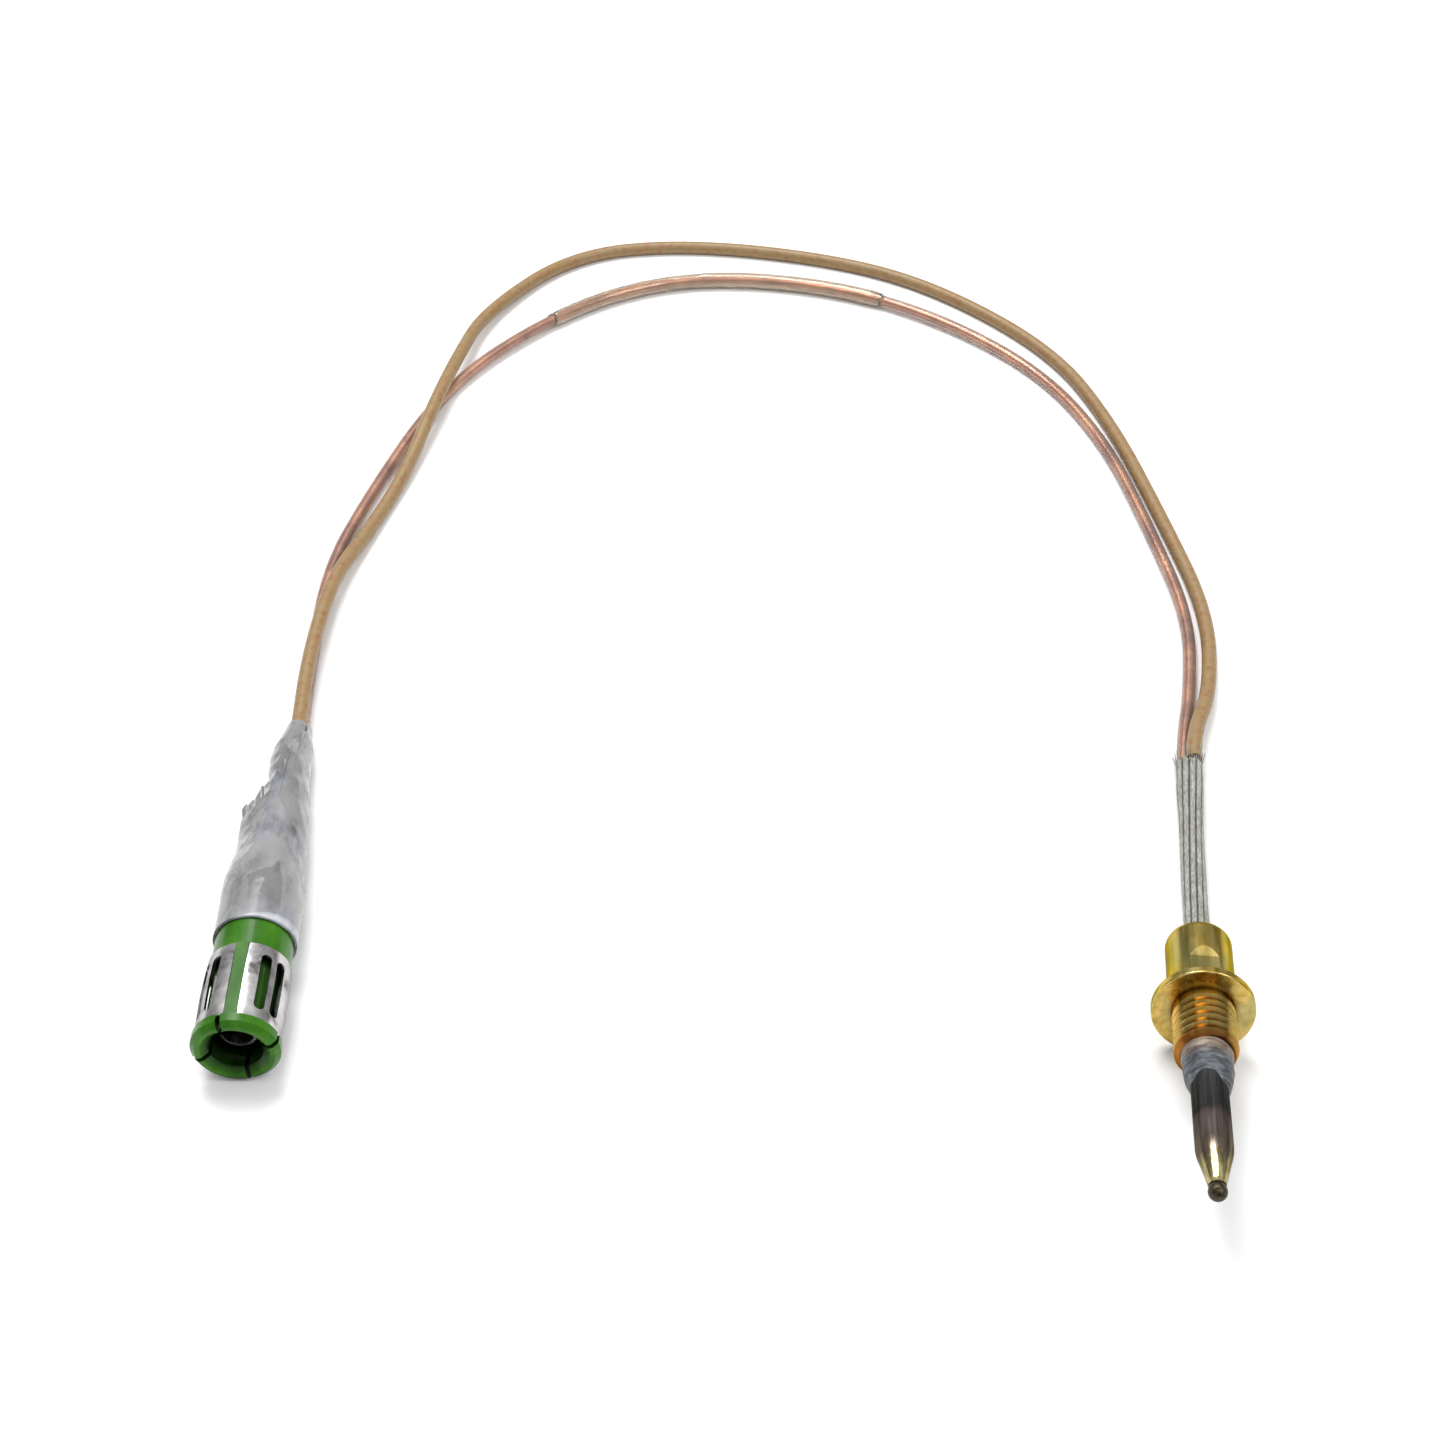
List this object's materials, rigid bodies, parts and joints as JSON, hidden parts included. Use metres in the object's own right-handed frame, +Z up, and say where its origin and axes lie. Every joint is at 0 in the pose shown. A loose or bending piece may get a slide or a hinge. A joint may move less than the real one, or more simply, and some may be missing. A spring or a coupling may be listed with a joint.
{
  "type": "thermocouple",
  "caption": "Hob thermocouple: brass flanged and threaded probe with a tapered sensing tube, two free leads and a coaxial push-in plug with a split contact shell.",
  "frame": {"origin": "on the probe's axis, in the plane of the brass flange's seating face, where the threaded stub begins", "axes": "+Z up from the table that the thermocouple lies on; the probe points along -Y with its tip raised 9.96 degrees, because it lies on its flange and its barrel; the leads run back along +Y and the plug lies at -X"},
  "size_m": [0.1039, 0.1585, 0.01],
  "materials": {
    "brass": "turned, satin, lightly tarnished",
    "probe_steel": "heat-tinted metal, bright taper",
    "bead_metal": "dark oxidised weld bead",
    "core_alloy": "drawn wire",
    "braze": "rough grey filler",
    "glass_fibre": "braided white glass fibre",
    "ferrule": "crimped",
    "solder": "dull solder",
    "lead_copper": "drawn copper",
    "yellow_varnish": "satin, mottled ochre",
    "clear_sheath": "clear, glossy, over copper",
    "clear_film": "clear crumpled film",
    "green_plastic": "moulded, glossy",
    "nickel": "nickel plated spring sheet"
  },
  "bodies": {
    "root": {"brass_body": "brass", "sensor_tube": "probe_steel", "hot_junction_bead": "bead_metal", "core_wire": "core_alloy", "core_insulator": "glass_fibre", "braze_collar": "braze", "core_joint_ferrule": "ferrule", "joint_insulator": "glass_fibre", "copper_lead_joint": "solder", "glass_fibre_sleeve": "glass_fibre", "yellow_lead_conductor": "core_alloy", "yellow_lead_insulation": "yellow_varnish", "copper_lead_conductor": "lead_copper", "copper_lead_sheath": "clear_sheath", "clear_guard_sleeve": "clear_sheath", "clear_sleeve": "clear_film", "connector_housing": "green_plastic", "contact_shell": "nickel", "centre_contact": "nickel", "centre_contact_solder": "solder", "shell_solder_joint": "solder"}
  },
  "joints": []
}
